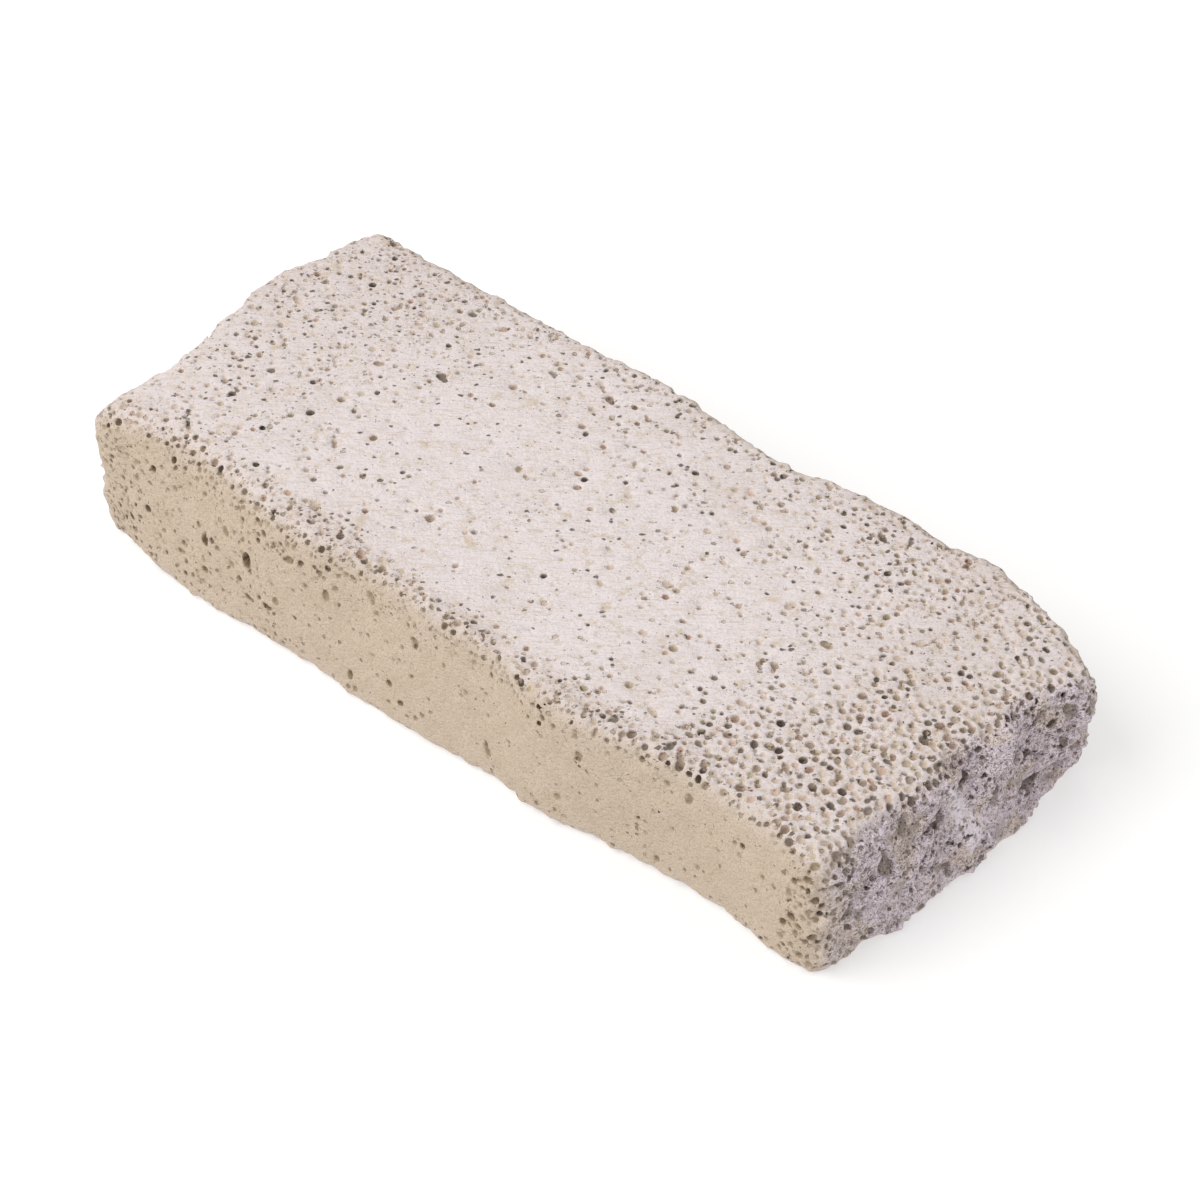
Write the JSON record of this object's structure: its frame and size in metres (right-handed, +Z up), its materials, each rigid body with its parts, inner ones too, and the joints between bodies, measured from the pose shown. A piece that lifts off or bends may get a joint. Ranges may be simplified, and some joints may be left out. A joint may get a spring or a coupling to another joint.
{
  "type": "pumice stone",
  "caption": "Hand-sized bar of pumice with sawn flat faces, a rough broken end and open pits all over.",
  "frame": {"origin": "middle of the stone's flat underside, at the height of the surface it lies on", "axes": "+X along the length towards the broken end, +Y across it towards the far long side, +Z up through the thickness"},
  "size_m": [0.109, 0.0502, 0.0181],
  "materials": {
    "pumice": "dull, dusty, pinkish grey to tan, darker in the pits"
  },
  "bodies": {
    "root": {"pumice_stone": "pumice"}
  },
  "joints": []
}
